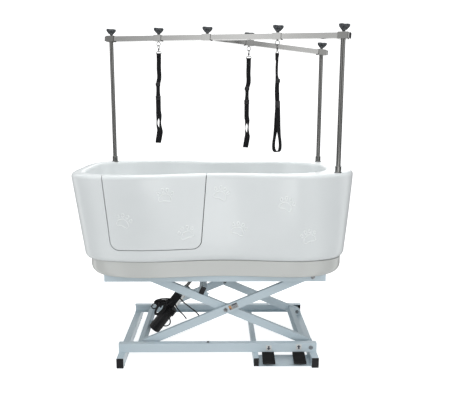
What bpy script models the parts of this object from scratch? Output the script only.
"""Electric lift bathtub for washing dogs, with a grooming frame over it.

Metres, +Z up, front towards -Y, origin on the floor under the middle of the tub.
A steel scissor lift on two skids carries a moulded tub with a lift-out door.
Three posts on the rim carry two square bars, with clamps, knobs and hanging nooses.
"""

import math

import bmesh
import bpy
from mathutils import Matrix, Vector

# ---------------------------------------------------------------- driving dimensions

FIT_GAP = 0.0003
ROUND_STEPS = 20

# Lower frame: two C beams along X on three tubes along Y.
BEAM_LEFT = -0.473
BEAM_RIGHT = 0.509
BEAM_OUTSIDE = 0.278
BEAM_BOTTOM = 0.059
BEAM_HEIGHT = 0.046
BEAM_FLANGE = 0.0277
BEAM_WALL = 0.003
SKID_HALF_LENGTH = 0.3445
SKID_WIDTH = 0.034
SKID_HEIGHT = 0.049
THIRD_TUBE_X = 0.205
THIRD_TUBE_WIDTH = 0.025
THIRD_TUBE_HEIGHT = 0.040
TUBE_WALL = 0.002
WELD = 0.0004

# Foot pedals on a tray between the third tube and the right skid.
PEDAL_X = (0.2664, 0.4174)
PEDAL_WIDTH = 0.060
PEDAL_HINGE = (-0.2815, 0.0432)
PEDAL_LENGTH = 0.075
PEDAL_TILT = math.radians(16.0)
TRAY_BACK = -0.225
TRAY_HEIGHT = 0.0165

# Scissor lift, drawn part-way up.
LOWER_PIVOT = Vector((0.480, 0.0, 0.082))
CROSSING = Vector((0.057, 0.0, 0.26475))
UPPER_PIVOT = Vector((0.480, 0.0, 0.4475))
ARM_HEIGHT = 0.040
ARM_THICK = 0.020
OUTER_ARM_Y = 0.2285
INNER_ARM_Y = 0.2065
ROLLER_RADIUS = 0.0175
ROLLER_SPAN = (0.2505, 0.2725)
BOLT_RADIUS = 0.006
LEVER_TUBE_ALONG = 0.143

# Linear actuator: its axis stands a little off the line through its two pins,
# so that body and rod stay parallel and clear of each other through the whole lift.
ACTUATOR_FOOT = Vector((-0.312, 0.020, 0.080))
ACTUATOR_HEAD = Vector((-0.0755, 0.020, 0.400))
ACTUATOR_SKEW = math.radians(1.24)
ACTUATOR_TUBE_END = 0.272
ACTUATOR_ROD_LENGTH = 0.238

# Upper frame under the tub.
RAIL_LEFT = -0.532
RAIL_RIGHT = 0.543
RAIL_BOTTOM = 0.4245

# Tub.
SKIN = 0.005
PLINTH_BOTTOM = 0.456
BODY_BOTTOM = 0.534
RIM_TOP = 0.954
FLOOR_TOP = 0.556
LOOP_POINTS = 56
WAIST_X = 0.05
WAIST_SPAN = 0.42
DRAIN_X = 0.30

# Door in the front wall: half outline in X and Z, a tapered panel with round lower corners.
DOOR_TOP_LEFT = -0.505
DOOR_TOP_RIGHT = -0.035
DOOR_BOTTOM_LEFT = -0.484
DOOR_BOTTOM_RIGHT = -0.060
DOOR_BOTTOM = 0.598
DOOR_CORNER = 0.042
DOOR_GAP = 0.003

# Grooming frame.
POST_RADIUS = 0.011
SOCKET_RADIUS = 0.0145
SOCKET_HEIGHT = 0.030
BAR_SIZE = 0.025
BAR_OVERHANG = 0.030
SLEEVE_SIZE = 0.031
SLEEVE_LENGTH = 0.048
# Middle of the bar over each post; the left post stands taller than the two on the right.
POST_LEFT = Vector((-0.566, 0.276, 1.625))
POST_FRONT = Vector((0.588, -0.254, 1.580))
POST_REAR = Vector((0.588, 0.272, 1.557))
JUNCTION_SHARE = 0.459
SLIDER_X = (-0.294, 0.1795, 0.303)
NOOSE_BOTTOM = (1.067, 1.045, 1.040)
EYE_RADIUS = 0.0105
EYE_WIRE = 0.0018

POWDER_BLUE = ((0.62, 0.71, 0.78), 0.42, 0.0)
WHITE_GEL = ((0.86, 0.87, 0.87), 0.18, 0.0)
PLINTH_GREY = ((0.74, 0.74, 0.72), 0.30, 0.0)
BLACK_RUBBER = ((0.020, 0.020, 0.022), 0.65, 0.0)
BLACK_PLASTIC = ((0.025, 0.026, 0.030), 0.38, 0.0)
STAINLESS = ((0.62, 0.62, 0.61), 0.25, 1.0)
ZINC = ((0.55, 0.56, 0.58), 0.35, 1.0)
WEBBING = ((0.012, 0.012, 0.014), 0.85, 0.0)

ARM_HALF = (CROSSING - LOWER_PIVOT).length
ARM_SLOPE = math.atan2(CROSSING.z - LOWER_PIVOT.z, LOWER_PIVOT.x - CROSSING.x)
FALLING = Matrix.Rotation(ARM_SLOPE, 4, "Y")
RISING = Matrix.Rotation(-ARM_SLOPE, 4, "Y")
UPRIGHT = Matrix.Identity(4)
ROLLER_X = 2.0 * CROSSING.x - LOWER_PIVOT.x
SKID_X = (BEAM_LEFT + SKID_WIDTH / 2, BEAM_RIGHT - SKID_WIDTH / 2)
BAR_DIRECTION = (POST_FRONT - POST_LEFT).normalized()
JUNCTION = POST_LEFT.lerp(POST_FRONT, JUNCTION_SHARE)
BRANCH_DIRECTION = (POST_REAR - JUNCTION).normalized()
BARS_UP = BAR_DIRECTION.cross(BRANCH_DIRECTION).normalized()


# ---------------------------------------------------------------- collections and objects

def new_collection(name):
    collection = bpy.data.collections.new(name)
    bpy.context.scene.collection.children.link(collection)
    return collection


for old in list(bpy.data.objects):
    bpy.data.objects.remove(old, do_unlink=True)
PARTS = new_collection("pet_bathtub")
CUTTERS = new_collection("cutters")
CUTTERS.hide_render = True


def paint(obj, look):
    """Give an object its own Principled material of one colour."""
    colour, roughness, metallic = look
    material = bpy.data.materials.new(obj.name)
    material.use_nodes = True
    shader = material.node_tree.nodes["Principled BSDF"]
    shader.inputs["Base Color"].default_value = (*colour, 1.0)
    shader.inputs["Roughness"].default_value = roughness
    shader.inputs["Metallic"].default_value = metallic
    obj.data.materials.append(material)


def mesh_object(name, bm, collection, origin):
    """Make an object from a bmesh in world coordinates, with its origin at the given point."""
    bmesh.ops.translate(bm, verts=bm.verts, vec=-Vector(origin))
    mesh = bpy.data.meshes.new(name)
    bm.to_mesh(mesh)
    bm.free()
    mesh.shade_smooth()
    mesh.set_sharp_from_angle(angle=math.radians(35))
    obj = bpy.data.objects.new(name, mesh)
    obj.location = origin
    collection.objects.link(obj)
    return obj


def part(name, bm, look, origin=(0.0, 0.0, 0.0)):
    obj = mesh_object(name, bm, PARTS, origin)
    paint(obj, look)
    return obj


def helper(name, bm):
    """An operand of a Boolean, which isn't a piece of the tub."""
    obj = mesh_object(name, bm, CUTTERS, (0.0, 0.0, 0.0))
    obj.hide_render = True
    obj.display_type = "WIRE"
    return obj


def boolean(obj, operation, operand):
    modifier = obj.modifiers.new(operation.title(), "BOOLEAN")
    modifier.operation = operation
    modifier.solver = "EXACT"
    modifier.object = operand


def join(obj, *shapes):
    for bm in shapes:
        boolean(obj, "UNION", helper(obj.name + "_add", bm))


def cut(obj, *shapes):
    for bm in shapes:
        boolean(obj, "DIFFERENCE", helper(obj.name + "_cut", bm))


# ---------------------------------------------------------------- primitive shapes

def box(centre, size, turn=UPRIGHT):
    """A block about a centre, turned about that centre."""
    bm = bmesh.new()
    matrix = Matrix.Translation(centre) @ turn @ Matrix.Diagonal((*size, 1.0))
    bmesh.ops.create_cube(bm, size=1.0, matrix=matrix)
    return bm


def span_box(low, high):
    """A block from its lowest corner to its highest."""
    low = Vector(low)
    high = Vector(high)
    return box((low + high) / 2, high - low)


def rod(start, end, radius, end_radius=None, steps=ROUND_STEPS):
    """A cylinder or cone between two points."""
    start = Vector(start)
    end = Vector(end)
    along = end - start
    turn = along.to_track_quat("Z", "Y").to_matrix().to_4x4()
    bm = bmesh.new()
    bmesh.ops.create_cone(
        bm,
        cap_ends=True,
        segments=steps,
        radius1=radius,
        radius2=radius if end_radius is None else end_radius,
        depth=along.length,
        matrix=Matrix.Translation((start + end) / 2) @ turn,
    )
    return bm


def merged(*shapes):
    """Several separate shapes in one bmesh."""
    bm = bmesh.new()
    for shape in shapes:
        mesh = bpy.data.meshes.new("merged")
        shape.to_mesh(mesh)
        shape.free()
        bm.from_mesh(mesh)
        bpy.data.meshes.remove(mesh)
    return bm


def both_sides(make, distance):
    """The same shape at +Y and at -Y."""
    return merged(make(-distance), make(distance))


def turned(profile, steps=ROUND_STEPS):
    """A turned solid about Z from (radius, height) points, made with a Screw modifier."""
    mesh = bpy.data.meshes.new("profile")
    points = [(radius, 0.0, height) for radius, height in profile]
    count = len(points)
    loop = [(index, (index + 1) % count) for index in range(count)]
    mesh.from_pydata(points, loop, [])
    obj = bpy.data.objects.new("profile", mesh)
    CUTTERS.objects.link(obj)
    screw = obj.modifiers.new("Screw", "SCREW")
    screw.angle = 2.0 * math.pi
    screw.steps = steps
    screw.render_steps = steps
    screw.use_merge_vertices = True
    screw.merge_threshold = 0.00005
    bm = taken_from(obj)
    return bm


def taken_from(obj):
    """The evaluated mesh of a helper object as a bmesh, with the helper removed."""
    graph = bpy.context.evaluated_depsgraph_get()
    mesh = bpy.data.meshes.new_from_object(obj.evaluated_get(graph))
    mesh.transform(obj.matrix_world)
    bm = bmesh.new()
    bm.from_mesh(mesh)
    bpy.data.meshes.remove(mesh)
    bpy.data.objects.remove(obj, do_unlink=True)
    bmesh.ops.remove_doubles(bm, verts=bm.verts, dist=0.00002)
    bmesh.ops.recalc_face_normals(bm, faces=bm.faces)
    return bm


def flat_outline(points, thickness, place, holes=()):
    """A flat outline in X and Y as a filled 2D curve with a thickness, moved by a matrix."""
    curve = bpy.data.curves.new("outline", "CURVE")
    curve.dimensions = "2D"
    curve.fill_mode = "BOTH"
    curve.extrude = thickness / 2
    for loop in (points, *holes):
        spline = curve.splines.new("POLY")
        spline.points.add(len(loop) - 1)
        for point, (x, y) in zip(spline.points, loop):
            point.co = (x, y, 0.0, 1.0)
        spline.use_cyclic_u = True
    obj = bpy.data.objects.new("outline", curve)
    CUTTERS.objects.link(obj)
    obj.matrix_world = place
    bpy.context.view_layer.update()
    return taken_from(obj)


def wire_ring(radius, wire, place, steps=20, wire_steps=8):
    """A closed ring of round wire, from a circular curve with a bevel."""
    curve = bpy.data.curves.new("ring", "CURVE")
    curve.dimensions = "3D"
    curve.bevel_depth = wire
    curve.bevel_resolution = wire_steps // 4
    spline = curve.splines.new("POLY")
    spline.points.add(steps - 1)
    for index, point in enumerate(spline.points):
        angle = 2.0 * math.pi * index / steps
        point.co = (radius * math.cos(angle), radius * math.sin(angle), 0.0, 1.0)
    spline.use_cyclic_u = True
    obj = bpy.data.objects.new("ring", curve)
    CUTTERS.objects.link(obj)
    obj.matrix_world = place
    bpy.context.view_layer.update()
    return taken_from(obj)


def moved(bm, matrix):
    bmesh.ops.transform(bm, matrix=matrix, verts=bm.verts)
    return bm


def arc(centre, radius, start, end, steps):
    """Points on an arc, with angles in degrees."""
    found = []
    for index in range(steps + 1):
        angle = math.radians(start + (end - start) * index / steps)
        found.append((centre[0] + radius * math.cos(angle), centre[1] + radius * math.sin(angle)))
    return found


# ---------------------------------------------------------------- lower frame

def channel_cuts(bottom, left, right):
    """The hollows of two C channels that open towards the middle."""
    depth = BEAM_FLANGE - BEAM_WALL
    middle = BEAM_OUTSIDE - BEAM_WALL - depth / 2 - 0.005
    size = (right - left + 0.02, depth + 0.010, BEAM_HEIGHT - 2 * BEAM_WALL)
    centre_x = (left + right) / 2
    centre_z = bottom + BEAM_HEIGHT / 2
    return both_sides(lambda y: box((centre_x, y, centre_z), size), middle)


def channels(bottom, left, right):
    size = (right - left, BEAM_FLANGE, BEAM_HEIGHT)
    centre_x = (left + right) / 2
    centre_z = bottom + BEAM_HEIGHT / 2
    return both_sides(lambda y: box((centre_x, y, centre_z), size), BEAM_OUTSIDE - BEAM_FLANGE / 2)


def pivot_bosses(pivot, inner):
    """Spacer bosses on the channel webs, reaching in to the arms."""
    web = BEAM_OUTSIDE - BEAM_WALL + WELD
    front = rod((pivot.x, -web, pivot.z), (pivot.x, -inner, pivot.z), 0.013)
    rear = rod((pivot.x, web, pivot.z), (pivot.x, inner, pivot.z), 0.013)
    return merged(front, rear)


def bolt_holes(pivot):
    reach = BEAM_OUTSIDE + 0.01
    return rod((pivot.x, -reach, pivot.z), (pivot.x, reach, pivot.z), BOLT_RADIUS + FIT_GAP)


def make_base_frame():
    skid_top = BEAM_BOTTOM + WELD
    skid_bottom = BEAM_BOTTOM - SKID_HEIGHT
    frame = part("base_frame", channels(BEAM_BOTTOM, BEAM_LEFT, BEAM_RIGHT), POWDER_BLUE)
    cut(frame, channel_cuts(BEAM_BOTTOM, BEAM_LEFT, BEAM_RIGHT))
    tubes = [(x, SKID_WIDTH, skid_bottom) for x in SKID_X]
    tubes.append((THIRD_TUBE_X, THIRD_TUBE_WIDTH, BEAM_BOTTOM - THIRD_TUBE_HEIGHT))
    for x, width, bottom in tubes:
        low = (x - width / 2, -SKID_HALF_LENGTH, bottom)
        high = (x + width / 2, SKID_HALF_LENGTH, skid_top)
        join(frame, span_box(low, high))
    for x, width, bottom in tubes:
        inside = width / 2 - TUBE_WALL
        low = (x - inside, -SKID_HALF_LENGTH - 0.01, bottom + TUBE_WALL)
        high = (x + inside, SKID_HALF_LENGTH + 0.01, BEAM_BOTTOM - TUBE_WALL)
        cut(frame, span_box(low, high))
    join(frame, pivot_bosses(LOWER_PIVOT, INNER_ARM_Y + ARM_THICK / 2 + 0.001))
    cut(frame, bolt_holes(LOWER_PIVOT))


def make_tube_plugs():
    """Ribbed black end plugs in the open ends of the floor tubes."""
    places = []
    for side, x in zip(("left", "right"), SKID_X):
        for end, sign in (("front", -1.0), ("rear", 1.0)):
            name = f"skid_plug_{end}_{side}"
            places.append((name, x, sign, SKID_WIDTH, BEAM_BOTTOM - SKID_HEIGHT))
    places.append(("pedal_tube_plug", THIRD_TUBE_X, -1.0, THIRD_TUBE_WIDTH, BEAM_BOTTOM - THIRD_TUBE_HEIGHT))
    for name, x, sign, width, bottom in places:
        height = BEAM_BOTTOM - bottom
        centre_z = bottom + height / 2
        face_y = sign * (SKID_HALF_LENGTH + FIT_GAP + 0.002)
        plug = part(name, box((x, face_y, centre_z), (width, 0.004, height)), BLACK_PLASTIC)
        inside = TUBE_WALL + FIT_GAP
        stem = (width - 2 * inside, 0.018, height - 2 * inside)
        join(plug, box((x, sign * (SKID_HALF_LENGTH - 0.008), centre_z), stem))


def make_feet():
    """Turned rubber feet under the skids."""
    top = BEAM_BOTTOM - SKID_HEIGHT - FIT_GAP
    profile = [(0.0, top), (0.014, top), (0.016, 0.002), (0.015, 0.0), (0.0, 0.0)]
    for side, x in zip(("left", "right"), SKID_X):
        for end, y in (("front", -0.300), ("rear", 0.300)):
            foot = moved(turned(profile), Matrix.Translation((x, y, 0.0)))
            part(f"foot_{end}_{side}", foot, BLACK_RUBBER)


# ---------------------------------------------------------------- pedals

def make_pedal_tray():
    """A folded tray with two pairs of hinge lugs."""
    left = THIRD_TUBE_X + THIRD_TUBE_WIDTH / 2 + FIT_GAP
    right = SKID_X[1] - SKID_WIDTH / 2 - FIT_GAP
    front = -SKID_HALF_LENGTH
    sheet = 0.0025
    tray = part("pedal_tray", span_box((left, front, TRAY_HEIGHT), (right, TRAY_BACK, TRAY_HEIGHT + sheet)),
                POWDER_BLUE)
    lip_top = TRAY_HEIGHT + 0.010
    for low_x, high_x in ((left, left + sheet), (right - sheet, right)):
        join(tray, span_box((low_x, front, TRAY_HEIGHT + 0.001), (high_x, TRAY_BACK, lip_top)))
    lug_top = PEDAL_HINGE[1] + 0.0045
    for x in PEDAL_X:
        for side in (-1.0, 1.0):
            middle = x + side * (PEDAL_WIDTH / 2 - 0.006)
            low = (middle - 0.0015, PEDAL_HINGE[0] - 0.007, TRAY_HEIGHT + 0.001)
            high = (middle + 0.0015, PEDAL_HINGE[0] + 0.007, lug_top)
            join(tray, span_box(low, high))
        start = (x - PEDAL_WIDTH / 2, *PEDAL_HINGE)
        end = (x + PEDAL_WIDTH / 2, *PEDAL_HINGE)
        cut(tray, rod(start, end, 0.0033, steps=12))


def make_pedals():
    """Rocking pads that press down at the front, each with a hinge bar through its lugs."""
    turn = Matrix.Rotation(PEDAL_TILT, 4, "X")
    for name, x in zip(("pedal_down", "pedal_up"), PEDAL_X):
        hinge = Vector((x, *PEDAL_HINGE))
        centre = hinge + turn @ Vector((0.0, -PEDAL_LENGTH / 2 + 0.002, 0.0145))
        pedal = part(name, box(centre, (PEDAL_WIDTH, PEDAL_LENGTH, 0.010), turn), BLACK_RUBBER, hinge)
        half = PEDAL_WIDTH / 2 - 0.002
        join(pedal, rod(hinge - Vector((half, 0, 0)), hinge + Vector((half, 0, 0)), 0.003, steps=12))
        web = hinge + turn @ Vector((0.0, -0.001, 0.006))
        join(pedal, box(web, (PEDAL_WIDTH - 0.019, 0.012, 0.011), turn))


# ---------------------------------------------------------------- scissor lift

def arm_pair(y, turn):
    """Two flat arms with round ends, from one end pivot through the crossing to the other."""
    ends = [turn @ Vector((side * ARM_HALF, 0.0, 0.0)) + CROSSING for side in (-1.0, 1.0)]
    outline = arc((ARM_HALF, 0.0), ARM_HEIGHT / 2, -90, 90, 8)
    outline += arc((-ARM_HALF, 0.0), ARM_HEIGHT / 2, 90, 270, 8)
    stand = Matrix.Rotation(math.radians(90), 4, "X")
    shapes = []
    for side in (-y, y):
        place = Matrix.Translation(CROSSING + Vector((0.0, side, 0.0))) @ turn @ stand
        shapes.append(flat_outline(outline, ARM_THICK, place))
    return merged(*shapes), ends


def hollow_arms(frame, y, turn):
    """The inside of both arm tubes, each with two drain holes in its lower wall."""
    length = 2 * ARM_HALF - 0.05
    halves = ((-length / 4 - 0.010, length / 2 - 0.040), (length / 4 + 0.010, length / 2 - 0.040))
    for along, part_length in halves:
        size = (part_length, ARM_THICK - 2 * TUBE_WALL, ARM_HEIGHT - 2 * TUBE_WALL)
        centre = CROSSING + turn @ Vector((along, 0.0, 0.0))
        cut(frame, both_sides(lambda at: box(centre + Vector((0.0, at, 0.0)), size, turn), y))
        start = CROSSING + turn @ Vector((along, 0.0, 0.0))
        end = CROSSING + turn @ Vector((along, 0.0, -ARM_HEIGHT / 2 - 0.005))
        cut(frame, both_sides(lambda at: rod(start + Vector((0, at, 0)), end + Vector((0, at, 0)), 0.003,
                                             steps=10), y))


def arm_point(turn, along, above=0.0):
    """A point at a distance along an arm from the crossing, and above its centre line."""
    return CROSSING + turn @ Vector((along, 0.0, above))


def axle_stubs(frame, centre, start_y):
    for sign in (-1.0, 1.0):
        start = Vector((centre.x, sign * start_y, centre.z))
        end = Vector((centre.x, sign * (ROLLER_SPAN[1] - 0.001), centre.z))
        join(frame, rod(start, end, BOLT_RADIUS))
        collar = Vector((centre.x, sign * (ROLLER_SPAN[0] - 0.001), centre.z))
        join(frame, rod(start, collar, 0.010))


def bracket_pair(pin, anchor, centre_y, gap, thickness, radius):
    """Two plates from a cross tube out to a pin."""
    direction = pin - anchor
    turn = Matrix.Rotation(-math.atan2(direction.z, direction.x), 4, "Y")
    stand = Matrix.Rotation(math.radians(90), 4, "X")
    outline = arc((direction.length, 0.0), radius, -90, 90, 8)
    outline += [(0.0, radius), (0.0, -radius)]
    shapes = []
    for side in (-1.0, 1.0):
        y = centre_y + side * (gap + thickness / 2)
        place = Matrix.Translation((anchor.x, y, anchor.z)) @ turn @ stand
        shapes.append(flat_outline(outline, thickness, place))
    return merged(*shapes)


def cross_tube(turn, along, above, half_y, width, height):
    return box(arm_point(turn, along, above), (width, 2 * half_y, height), turn)


def make_outer_frame():
    """The outer arms: rollers at the lower left, pivots under the tub at the upper right."""
    arms, ends = arm_pair(OUTER_ARM_Y, RISING)
    frame = part("outer_scissor_frame", arms, POWDER_BLUE, CROSSING)
    reach = OUTER_ARM_Y - ARM_THICK / 2 + WELD
    join(frame, cross_tube(RISING, -ARM_HALF, 0.0, reach, 0.030, 0.030))
    join(frame, cross_tube(RISING, ARM_HALF - 0.050, 0.0, reach, 0.030, 0.030))
    hollow_arms(frame, OUTER_ARM_Y, RISING)
    for along in (-ARM_HALF, ARM_HALF - 0.050):
        cut(frame, cross_tube(RISING, along, 0.0, reach + 0.004, 0.024, 0.024))
        side = arm_point(RISING, along, -0.020)
        cut(frame, rod(arm_point(RISING, along, 0.0), side, 0.003, steps=10))
    pin = ACTUATOR_FOOT
    anchor = ends[0] + Vector((0.010, 0.0, 0.0))
    join(frame, bracket_pair(pin, anchor, pin.y, 0.0185, 0.005, 0.013))
    cut(frame, rod((pin.x, -0.020, pin.z), (pin.x, 0.060, pin.z), BOLT_RADIUS + FIT_GAP))
    axle_stubs(frame, ends[0], OUTER_ARM_Y + ARM_THICK / 2 - WELD)
    cut(frame, bolt_holes(CROSSING))
    cut(frame, bolt_holes(UPPER_PIVOT))


def make_inner_frame():
    """The inner arms: pivots on the base at the lower right, rollers at the upper left."""
    arms, ends = arm_pair(INNER_ARM_Y, FALLING)
    frame = part("inner_scissor_frame", arms, POWDER_BLUE, LOWER_PIVOT)
    reach = INNER_ARM_Y - ARM_THICK / 2 + WELD
    spans = (ARM_HALF - 0.045, -ARM_HALF + 0.045)
    for along in spans:
        join(frame, cross_tube(FALLING, along, 0.0, reach, 0.030, 0.030))
    hollow_arms(frame, INNER_ARM_Y, FALLING)
    for along in spans:
        cut(frame, cross_tube(FALLING, along, 0.0, reach + 0.004, 0.024, 0.024))
        cut(frame, rod(arm_point(FALLING, along), arm_point(FALLING, along, -0.020), 0.003, steps=10))
    lever_y = INNER_ARM_Y + ARM_THICK / 2 - 0.0005
    above = ARM_HEIGHT / 2 + 0.020 - WELD
    join(frame, cross_tube(FALLING, -LEVER_TUBE_ALONG, above, lever_y, 0.026, 0.040))
    anchor = arm_point(FALLING, -LEVER_TUBE_ALONG, above)
    join(frame, bracket_pair(ACTUATOR_HEAD, anchor, ACTUATOR_HEAD.y, 0.0145, 0.005, 0.014))
    cut(frame, cross_tube(FALLING, -LEVER_TUBE_ALONG, above, lever_y + 0.01, 0.021, 0.035))
    pin = ACTUATOR_HEAD
    cut(frame, rod((pin.x, -0.020, pin.z), (pin.x, 0.060, pin.z), BOLT_RADIUS + FIT_GAP))
    for sign in (-1.0, 1.0):
        foot = Vector((0.0, sign * (INNER_ARM_Y - 0.006), 0.0))
        corner = arm_point(FALLING, -LEVER_TUBE_ALONG + 0.024, 0.024) + foot
        join(frame, box(corner, (0.026, 0.004, 0.022), FALLING))
    axle_stubs(frame, ends[0], INNER_ARM_Y + ARM_THICK / 2 - WELD)
    cut(frame, bolt_holes(CROSSING))
    cut(frame, bolt_holes(LOWER_PIVOT))


def make_pivot_bolts():
    """Bolts with a head outside and a nut inside."""
    web = BEAM_OUTSIDE + FIT_GAP
    inner_face = INNER_ARM_Y - ARM_THICK / 2
    outer_inner_face = OUTER_ARM_Y - ARM_THICK / 2
    bolts = (
        ("crossing_bolt", CROSSING, OUTER_ARM_Y + ARM_THICK / 2 + FIT_GAP, inner_face),
        ("base_pivot_bolt", LOWER_PIVOT, web, inner_face),
        ("tub_pivot_bolt", UPPER_PIVOT, web, outer_inner_face),
    )
    for name, pivot, head_y, nut_y in bolts:
        for end, sign in (("front", -1.0), ("rear", 1.0)):
            head = rod((pivot.x, sign * head_y, pivot.z), (pivot.x, sign * (head_y + 0.005), pivot.z), 0.0105)
            bolt = part(f"{name}_{end}", head, ZINC, (pivot.x, 0.0, pivot.z))
            shank_start = (pivot.x, sign * (head_y + 0.002), pivot.z)
            shank_end = (pivot.x, sign * (nut_y - 0.006), pivot.z)
            join(bolt, rod(shank_start, shank_end, BOLT_RADIUS))
            nut_start = (pivot.x, sign * (nut_y - FIT_GAP), pivot.z)
            nut_end = (pivot.x, sign * (nut_y - 0.005), pivot.z)
            join(bolt, rod(nut_start, nut_end, 0.0105, steps=6))


def make_rollers():
    """Nylon rollers that run in the channels."""
    half = (ROLLER_SPAN[1] - ROLLER_SPAN[0]) / 2
    bore = BOLT_RADIUS + FIT_GAP
    profile = [(bore, half), (ROLLER_RADIUS - 0.002, half), (ROLLER_RADIUS, half - 0.002),
               (ROLLER_RADIUS, -half + 0.002), (ROLLER_RADIUS - 0.002, -half), (bore, -half)]
    lie = Matrix.Rotation(math.radians(90), 4, "X")
    for level, z in (("lower", LOWER_PIVOT.z), ("upper", UPPER_PIVOT.z)):
        for end, sign in (("front", -1.0), ("rear", 1.0)):
            centre = Vector((ROLLER_X, sign * (sum(ROLLER_SPAN) / 2), z))
            roller = moved(turned(profile), Matrix.Translation(centre) @ lie)
            part(f"{level}_roller_{end}", roller, BLACK_PLASTIC, centre)


# ---------------------------------------------------------------- actuator

def actuator_turn():
    """Turns X onto the actuator's own axis."""
    line = ACTUATOR_HEAD - ACTUATOR_FOOT
    return Matrix.Rotation(-math.atan2(line.z, line.x) + ACTUATOR_SKEW, 4, "Y")


def make_actuator():
    turn = actuator_turn()

    def at_foot(along, side=0.0, above=0.0):
        return ACTUATOR_FOOT + turn @ Vector((along, side, above))

    def at_head(along, side=0.0, above=0.0):
        return ACTUATOR_HEAD + turn @ Vector((along, side, above))

    body = part("actuator_body", rod(at_foot(0.050), at_foot(ACTUATOR_TUBE_END), 0.021, steps=24),
                STAINLESS, ACTUATOR_FOOT)
    cut(body, rod(at_foot(0.062), at_foot(ACTUATOR_TUBE_END + 0.01), 0.0185, steps=24))
    foot_start = ACTUATOR_FOOT - Vector((0.0, 0.018, 0.0))
    foot_end = ACTUATOR_FOOT + Vector((0.0, 0.018, 0.0))
    join(body, rod(foot_start, foot_end, 0.014))
    join(body, box(at_foot(0.029), (0.050, 0.036, 0.026), turn))
    cut(body, rod(foot_start - Vector((0, 0.01, 0)), foot_end + Vector((0, 0.01, 0)), BOLT_RADIUS + FIT_GAP))

    motor_start = at_foot(-0.004, -0.060, 0.012)
    motor_end = at_foot(0.150, -0.060, 0.012)
    motor = part("actuator_motor", rod(motor_start, motor_end, 0.032, steps=24), BLACK_PLASTIC, ACTUATOR_FOOT)
    join(motor, box(at_foot(0.185, -0.050, 0.024), (0.090, 0.040, 0.038), turn))
    join(motor, box(at_foot(0.100, -0.0285, 0.004), (0.050, 0.0135, 0.030), turn))

    shank = rod(at_head(-ACTUATOR_ROD_LENGTH), at_head(-0.006), 0.009, steps=20)
    piston = part("actuator_rod", shank, STAINLESS, ACTUATOR_HEAD)
    eye_start = ACTUATOR_HEAD - Vector((0.0, 0.014, 0.0))
    eye_end = ACTUATOR_HEAD + Vector((0.0, 0.014, 0.0))
    join(piston, rod(eye_start, eye_end, 0.0125))
    cut(piston, rod(eye_start - Vector((0, 0.01, 0)), eye_end + Vector((0, 0.01, 0)), BOLT_RADIUS + FIT_GAP))


def make_actuator_pins():
    pins = (("actuator_foot_pin", ACTUATOR_FOOT, 0.0235), ("actuator_head_pin", ACTUATOR_HEAD, 0.0195))
    for name, centre, face in pins:
        head_start = centre + Vector((0.0, face + FIT_GAP, 0.0))
        head_end = centre + Vector((0.0, face + 0.004, 0.0))
        pin = part(name, rod(head_start, head_end, 0.009), ZINC, centre)
        tail = centre - Vector((0.0, face + 0.004, 0.0))
        join(pin, rod(tail, centre + Vector((0.0, face + 0.002, 0.0)), BOLT_RADIUS))


# ---------------------------------------------------------------- upper frame and tub

def make_tub_frame():
    frame = part("tub_frame", channels(RAIL_BOTTOM, RAIL_LEFT, RAIL_RIGHT), POWDER_BLUE)
    cut(frame, channel_cuts(RAIL_BOTTOM, RAIL_LEFT, RAIL_RIGHT))
    top = RAIL_BOTTOM + BEAM_HEIGHT
    half = BEAM_OUTSIDE - BEAM_FLANGE + 0.001
    for low_x in (RAIL_LEFT + 0.010, RAIL_RIGHT - 0.038):
        join(frame, span_box((low_x, -half, top - 0.006), (low_x + 0.028, half, top - 0.0005)))
    join(frame, pivot_bosses(UPPER_PIVOT, OUTER_ARM_Y + ARM_THICK / 2 + 0.001))
    cut(frame, bolt_holes(UPPER_PIVOT))


def smooth(value):
    value = min(max(value, 0.0), 1.0)
    return value * value * (3.0 - 2.0 * value)


class Ring:
    """A plan outline of the tub: two rounded ends joined by long sides with a waist."""

    def __init__(self, left, right, half_width, pinch, powers):
        self.left = left
        self.right = right
        self.half_width = half_width
        self.pinch = pinch
        self.powers = powers

    def inset(self, distance):
        return Ring(self.left + distance, self.right - distance, self.half_width - distance,
                    self.pinch, self.powers)

    def shortened(self, distance):
        return Ring(self.left + distance, self.right - distance, self.half_width, self.pinch, self.powers)

    def toward(self, other, share):
        def mix(a, b):
            return a + (b - a) * share
        powers = [mix(a, b) for a, b in zip(self.powers, other.powers)]
        return Ring(mix(self.left, other.left), mix(self.right, other.right),
                    mix(self.half_width, other.half_width), mix(self.pinch, other.pinch), powers)

    def point(self, angle):
        """Powers are for the front left, rear left, front right and rear right quarters."""
        across = math.cos(angle)
        deep = math.sin(angle)
        power = self.powers[(2 if across > 0 else 0) + (1 if deep > 0 else 0)]
        middle = (self.left + self.right) / 2
        half = (self.right - self.left) / 2
        x = middle + half * math.copysign(abs(across) ** (2.0 / power), across)
        away = min(abs(x - WAIST_X) / WAIST_SPAN, 1.0)
        width = self.half_width - self.pinch * (0.5 + 0.5 * math.cos(math.pi * away))
        return x, width * math.copysign(abs(deep) ** (2.0 / power), deep)


PLAN_POWERS = (5.5, 3.8, 3.2, 3.8)
RIM_OUTER = Ring(-0.686, 0.696, 0.385, 0.082, PLAN_POWERS)
BODY_LOWER = Ring(-0.643, 0.655, 0.340, 0.040, (5.5, 3.8, 4.6, 3.8))
RIM_INNER = Ring(-0.634, 0.570, 0.335, 0.078, (5.0, 3.6, 2.6, 2.8))
BASIN_FLOOR = Ring(-0.560, 0.500, 0.262, 0.040, (4.5, 3.6, 2.6, 2.8))
PLINTH = Ring(-0.615, 0.637, 0.322, 0.036, (5.5, 3.8, 5.0, 3.8))


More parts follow.
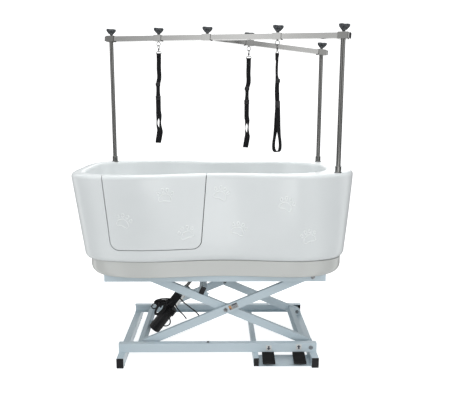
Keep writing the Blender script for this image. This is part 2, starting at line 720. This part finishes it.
def even_angles(ring, count):
    """Angles that space the points of a ring evenly along it."""
    fine = 1440
    points = [Vector(ring.point(2.0 * math.pi * (index + 0.5) / fine)) for index in range(fine + 1)]
    travelled = [0.0]
    for before, after in zip(points, points[1:]):
        travelled.append(travelled[-1] + (after - before).length)
    angles = []
    index = 0
    for step in range(count):
        target = travelled[-1] * step / count
        while travelled[index + 1] < target:
            index += 1
        share = (target - travelled[index]) / (travelled[index + 1] - travelled[index])
        angles.append(2.0 * math.pi * (index + 0.5 + share) / fine)
    return angles


ANGLES = even_angles(RIM_OUTER, LOOP_POINTS)


def loft(levels, cap_start, cap_end):
    """A skin through (ring, height) levels."""
    bm = bmesh.new()
    loops = []
    for ring, height in levels:
        loops.append([bm.verts.new((*ring.point(angle), height)) for angle in ANGLES])
    for lower, upper in zip(loops, loops[1:]):
        for index in range(LOOP_POINTS):
            after = (index + 1) % LOOP_POINTS
            bm.faces.new((lower[index], lower[after], upper[after], upper[index]))
    if cap_start:
        bm.faces.new(list(reversed(loops[0])))
    if cap_end:
        bm.faces.new(loops[-1])
    return bm


def tub_levels(depth):
    """The tub's skin from its lower lip over the rim to the basin floor, moved into the wall by a depth."""
    wall_top = RIM_TOP - 0.020
    top = RIM_TOP - depth
    low = BODY_BOTTOM + depth
    return [
        (BODY_LOWER.inset(0.045), low),
        (BODY_LOWER.inset(0.022 + depth), low),
        (BODY_LOWER.inset(0.006 + depth), low + 0.010),
        (BODY_LOWER.inset(depth), low + 0.032),
        (BODY_LOWER.toward(RIM_OUTER, 0.5).inset(depth), 0.755),
        (RIM_OUTER.inset(depth), wall_top),
        (RIM_OUTER.inset(0.004 + depth * 0.7), RIM_TOP - 0.006 - depth * 0.7),
        (RIM_OUTER.inset(0.014), top),
        (RIM_INNER.inset(-0.012), top),
        (RIM_INNER.inset(-0.003 - depth * 0.7), RIM_TOP - 0.005 - depth * 0.7),
        (RIM_INNER.inset(-depth), wall_top),
        (RIM_INNER.toward(BASIN_FLOOR, 0.5).inset(-depth), 0.770),
        (BASIN_FLOOR.inset(-depth), FLOOR_TOP + 0.050),
        (BASIN_FLOOR.inset(0.018 - depth * 0.5), FLOOR_TOP + 0.012),
        (BASIN_FLOOR.inset(0.055), FLOOR_TOP - depth),
        (BASIN_FLOOR.inset(0.130), FLOOR_TOP - depth),
    ]


def door_outline(grow):
    """The door's outline in X and Z, grown by a distance, open upwards past the rim."""
    top = RIM_TOP + 0.030
    bottom = DOOR_BOTTOM - grow
    rise = RIM_TOP - DOOR_BOTTOM
    left_lean = (DOOR_TOP_LEFT - DOOR_BOTTOM_LEFT) / rise
    right_lean = (DOOR_TOP_RIGHT - DOOR_BOTTOM_RIGHT) / rise
    lift = top - DOOR_BOTTOM
    radius = DOOR_CORNER + grow
    left_low = DOOR_BOTTOM_LEFT - grow
    right_low = DOOR_BOTTOM_RIGHT + grow
    points = [(DOOR_BOTTOM_LEFT + left_lean * lift - grow, top)]
    points += arc((left_low + radius, bottom + radius), radius, 180, 270, 6)
    points += arc((right_low - radius, bottom + radius), radius, 270, 360, 6)
    points.append((DOOR_BOTTOM_RIGHT + right_lean * lift + grow, top))
    return points


def door_prism(grow):
    """The door's outline as a block through the front wall."""
    stand = Matrix.Rotation(math.radians(90), 4, "X")
    return flat_outline(door_outline(grow), 0.30, Matrix.Translation((0.0, -0.33, 0.0)) @ stand)


def seal_prism():
    """A U-shaped strip that runs round the door's opening."""
    outer = door_outline(DOOR_GAP - 0.0004)
    inner = door_outline(0.0006)
    stand = Matrix.Rotation(math.radians(90), 4, "X")
    return flat_outline(outer + inner[::-1], 0.30, Matrix.Translation((0.0, -0.33, 0.0)) @ stand)


def drain_hole(radius):
    return rod((DRAIN_X, 0.0, FLOOR_TOP - 0.05), (DRAIN_X, 0.0, FLOOR_TOP + 0.05), radius, steps=24)


def make_tub():
    shell = part("tub_shell", loft(tub_levels(0.0), False, True), WHITE_GEL)
    skin = shell.modifiers.new("Skin", "SOLIDIFY")
    skin.thickness = SKIN
    skin.offset = -1.0
    skin.use_even_offset = True
    jamb = helper("door_jamb", loft(tub_levels(SKIN / 2), True, True))
    boolean(jamb, "INTERSECT", helper("door_jamb_outline", door_prism(DOOR_GAP + 0.010)))
    boolean(shell, "UNION", jamb)
    cut(shell, door_prism(DOOR_GAP), drain_hole(0.0235))

    door = part("door", loft(tub_levels(0.0), True, True), WHITE_GEL)
    boolean(door, "INTERSECT", helper("door_panel", door_prism(0.0)))

    seal = part("door_seal", loft(tub_levels(0.010), True, True), BLACK_RUBBER)
    boolean(seal, "INTERSECT", helper("door_seal_strip", seal_prism()))


def make_plinth():
    """The recessed skirt that the tub's body stands on, with room for the rails and arm ends."""
    levels = [
        (PLINTH.shortened(0.044), PLINTH_BOTTOM),
        (PLINTH.shortened(0.022), PLINTH_BOTTOM + 0.007),
        (PLINTH.shortened(0.007), PLINTH_BOTTOM + 0.020),
        (PLINTH, PLINTH_BOTTOM + 0.038),
        (PLINTH, BODY_BOTTOM - FIT_GAP),
        (PLINTH.inset(0.045), BODY_BOTTOM - FIT_GAP),
    ]
    plinth = part("plinth", loft(levels, False, False), PLINTH_GREY)
    skin = plinth.modifiers.new("Skin", "SOLIDIFY")
    skin.thickness = SKIN
    skin.offset = -1.0
    skin.use_even_offset = True
    room = 0.001
    outside = BEAM_OUTSIDE + room
    inside = OUTER_ARM_Y - ARM_THICK / 2 - 2 * room
    low = PLINTH_BOTTOM - 0.010
    high = RAIL_BOTTOM + BEAM_HEIGHT + room
    size = (RAIL_RIGHT - RAIL_LEFT + 2 * room, outside - inside, high - low)
    centre = Vector(((RAIL_LEFT + RAIL_RIGHT) / 2, 0.0, (low + high) / 2))
    cut(plinth, both_sides(lambda at: box(centre + Vector((0.0, at, 0.0)), size), (outside + inside) / 2))


def make_drain():
    """A flanged outlet through the basin floor, with its tail pipe."""
    top = FLOOR_TOP + 0.003
    profile = [(0.0165, top), (0.031, top), (0.033, FLOOR_TOP + FIT_GAP), (0.023, FLOOR_TOP + FIT_GAP),
               (0.023, FLOOR_TOP - 0.040), (0.019, FLOOR_TOP - 0.042), (0.019, RAIL_BOTTOM + 0.030),
               (0.0165, RAIL_BOTTOM + 0.030)]
    part("drain", moved(turned(profile, 24), Matrix.Translation((DRAIN_X, 0.0, 0.0))), STAINLESS)


# ---------------------------------------------------------------- grooming frame

def heading(direction):
    """Turns X onto a bar's heading, and keeps Z upright."""
    return Matrix.Rotation(math.atan2(direction.y, direction.x), 4, "Z")


def along_bar(direction):
    """Turns X onto a bar's direction and Z square to the plane of the bars."""
    side = BARS_UP.cross(direction)
    return Matrix((direction, side, BARS_UP)).transposed().to_4x4()


def over_rim(place, height):
    return Vector((place.x, place.y, RIM_TOP + height))


def sleeve(centre, direction, length=SLEEVE_LENGTH):
    turn = along_bar(direction)
    return box(centre, (length, SLEEVE_SIZE, SLEEVE_SIZE), turn)


def sleeve_bore(centre, direction):
    turn = along_bar(direction)
    size = BAR_SIZE + 2 * FIT_GAP
    return box(centre, (SLEEVE_LENGTH + 0.02, size, size), turn)


def knob_hole(centre):
    return rod(centre, centre + BARS_UP * 0.03, 0.0043, steps=12)


def make_sockets():
    profile = [(POST_RADIUS + FIT_GAP, SOCKET_HEIGHT), (SOCKET_RADIUS - 0.001, SOCKET_HEIGHT),
               (SOCKET_RADIUS, SOCKET_HEIGHT - 0.001), (SOCKET_RADIUS, 0.004), (0.0175, 0.002),
               (0.0175, 0.0), (0.0, 0.0), (0.0, 0.003), (POST_RADIUS + FIT_GAP, 0.003)]
    for name, place in (("left", POST_LEFT), ("front", POST_FRONT), ("rear", POST_REAR)):
        base = Matrix.Translation(over_rim(place, FIT_GAP))
        part(f"post_socket_{name}", moved(turned(profile, 24), base), STAINLESS)


def make_posts():
    """Upright posts with a bar sleeve welded on top."""
    tops = (("left", POST_LEFT, BAR_DIRECTION), ("front", POST_FRONT, BAR_DIRECTION),
            ("rear", POST_REAR, BRANCH_DIRECTION))
    for name, place, direction in tops:
        foot = over_rim(place, 0.003 + 2 * FIT_GAP)
        head = place - Vector((0.0, 0.0, SLEEVE_SIZE / 2 - 0.0015))
        post = part(f"post_{name}", rod(foot, head, POST_RADIUS, steps=24), STAINLESS)
        join(post, sleeve(place, direction))
        cut(post, sleeve_bore(place, direction), knob_hole(place))


def square_tube(name, start, end, direction):
    """A square bar with open ends and a hollow as long as itself."""
    turn = along_bar(direction)
    centre = (start + end) / 2
    length = (end - start).length
    bar = part(name, box(centre, (length, BAR_SIZE, BAR_SIZE), turn), STAINLESS)
    inside = BAR_SIZE - 2 * 0.0015
    return bar, box(centre, (length + 0.01, inside, inside), turn)


def make_bars():
    start = POST_LEFT - BAR_DIRECTION * BAR_OVERHANG
    end = POST_FRONT + BAR_DIRECTION * BAR_OVERHANG
    bar, hollow = square_tube("main_bar", start, end, BAR_DIRECTION)
    cut(bar, hollow)

    branch_start = JUNCTION + BRANCH_DIRECTION * 0.018
    branch_end = POST_REAR + BRANCH_DIRECTION * BAR_OVERHANG
    branch, hollow = square_tube("branch_bar", branch_start, branch_end, BRANCH_DIRECTION)
    join(branch, sleeve(JUNCTION, BAR_DIRECTION))
    cut(branch, hollow, sleeve_bore(JUNCTION, BAR_DIRECTION), knob_hole(JUNCTION))

    ends = (("main_bar_plug_left", start, -BAR_DIRECTION), ("main_bar_plug_right", end, BAR_DIRECTION),
            ("branch_bar_plug", branch_end, BRANCH_DIRECTION))
    inside = BAR_SIZE - 2 * (0.0015 + FIT_GAP)
    for name, place, outward in ends:
        turn = along_bar(outward)
        plug = part(name, box(place + outward * (0.002 + FIT_GAP), (0.004, BAR_SIZE, BAR_SIZE), turn),
                    BLACK_PLASTIC)
        join(plug, box(place - outward * 0.006, (0.016, inside, inside), turn))


def slider_places():
    """The middle of each slider, and its bar's direction."""
    places = []
    for index, x in enumerate(SLIDER_X):
        base, direction = (JUNCTION, BRANCH_DIRECTION) if index == 1 else (POST_LEFT, BAR_DIRECTION)
        share = (x - base.x) / direction.x
        places.append((base + direction * share, direction))
    return places


def eye_centre(centre):
    return centre - Vector((0.0, 0.0, SLEEVE_SIZE / 2 + EYE_RADIUS + 0.003))


def make_sliders():
    """Clamps that slide on the bars, each with an eye for a noose."""
    for index, (centre, direction) in enumerate(slider_places()):
        slider = part(f"slider_{index + 1}", sleeve(centre, direction, 0.044), STAINLESS, centre)
        cut(slider, sleeve_bore(centre, direction), knob_hole(centre))
        face = heading(direction) @ Matrix.Rotation(math.radians(90), 4, "X")
        eye = eye_centre(centre)
        join(slider, wire_ring(EYE_RADIUS, EYE_WIRE, Matrix.Translation(eye) @ face))
        neck_top = centre - Vector((0.0, 0.0, SLEEVE_SIZE / 2 - 0.0015))
        neck_end = eye + Vector((0.0, 0.0, EYE_RADIUS - 0.001))
        join(slider, rod(neck_top, neck_end, 0.0035, steps=12))


def knob_outline():
    """Three round lobes with hollow flanks between them."""
    points = []
    steps = 36
    for index in range(steps):
        angle = 2.0 * math.pi * index / steps
        radius = 0.0200 + 0.0070 * math.cos(3.0 * angle)
        points.append((radius * math.cos(angle), radius * math.sin(angle)))
    return points


def make_knobs():
    """Three-lobed clamp knobs, each with a cone hub and a screw down to the bar."""
    sliders = [centre for centre, _ in slider_places()]
    places = (("knob_post_left", POST_LEFT), ("knob_post_front", POST_FRONT),
              ("knob_post_rear", POST_REAR), ("knob_junction", JUNCTION),
              ("knob_slider_1", sliders[0]), ("knob_slider_2", sliders[1]), ("knob_slider_3", sliders[2]))
    lean = Vector((0.0, 0.0, 1.0)).rotation_difference(BARS_UP).to_matrix().to_4x4()
    spin = lean @ Matrix.Rotation(math.radians(90), 4, "Z")
    for name, centre in places:
        top = centre + BARS_UP * (SLEEVE_SIZE / 2)
        place = Matrix.Translation(top + BARS_UP * 0.0255) @ spin
        knob = part(name, flat_outline(knob_outline(), 0.017, place), BLACK_PLASTIC, centre)
        join(knob, rod(top + BARS_UP * 0.004, top + BARS_UP * 0.0185, 0.0075, 0.0115, steps=16))
        tip = centre + BARS_UP * (BAR_SIZE / 2 + FIT_GAP)
        join(knob, rod(tip, top + BARS_UP * 0.006, 0.004, steps=12))


def noose_outline(length, half_width):
    """A hanging strap that widens into a long drop-shaped loop."""
    strap = 0.0035
    loop_top = -length + 0.125
    left = [(-strap, 0.0), (-strap, loop_top)]
    steps = 6
    for index in range(1, steps):
        share = index / steps
        left.append((-strap - (half_width - strap) * smooth(share), loop_top - 0.075 * share))
    bottom = arc((0.0, -length + half_width), half_width, 180, 360, 10)
    right = [(-x, y) for x, y in reversed(left)]
    return left + bottom + right


def noose_hole(length, half_width):
    """The open inside of the loop."""
    thick = 0.004
    top = -length + 0.105
    inner = half_width - thick
    hole = [(0.0, top)]
    hole += [(-inner * 0.55, top - 0.035), (-inner * 0.95, top - 0.065)]
    hole += arc((0.0, -length + half_width), inner, 180, 360, 8)
    hole += [(inner * 0.95, top - 0.065), (inner * 0.55, top - 0.035)]
    return hole


def make_nooses():
    """Webbing nooses, each on a swivel snap that passes through its slider's eye."""
    stand = Matrix.Rotation(math.radians(90), 4, "X")
    widths = (0.0115, 0.0115, 0.0205)
    for index, (centre, direction) in enumerate(slider_places()):
        eye = eye_centre(centre)
        hook_radius = 0.0085
        pivot = eye - Vector((0.0, 0.0, EYE_RADIUS))
        across = heading(direction) @ Matrix.Rotation(math.radians(90), 4, "Y")
        hook_centre = pivot - Vector((0.0, 0.0, hook_radius - EYE_WIRE - 0.0020))
        hook = wire_ring(hook_radius, 0.0016, Matrix.Translation(hook_centre) @ across)
        noose = part(f"noose_{index + 1}", hook, WEBBING, pivot)
        swivel_top = hook_centre - Vector((0.0, 0.0, hook_radius - 0.0005))
        strap_top = swivel_top - Vector((0.0, 0.0, 0.030))
        join(noose, rod(swivel_top, strap_top, 0.0035, steps=12))
        length = strap_top.z + 0.004 - NOOSE_BOTTOM[index]
        place = Matrix.Translation(strap_top + Vector((0.0, 0.0, 0.004))) @ stand
        strap = flat_outline(noose_outline(length, widths[index]), 0.018, place,
                             [noose_hole(length, widths[index])])
        join(noose, strap)


make_base_frame()
make_tube_plugs()
make_feet()
make_pedal_tray()
make_pedals()
make_outer_frame()
make_inner_frame()
make_pivot_bolts()
make_rollers()
make_actuator()
make_actuator_pins()
make_tub_frame()
make_tub()
make_plinth()
make_drain()
make_sockets()
make_posts()
make_bars()
make_sliders()
make_knobs()
make_nooses()
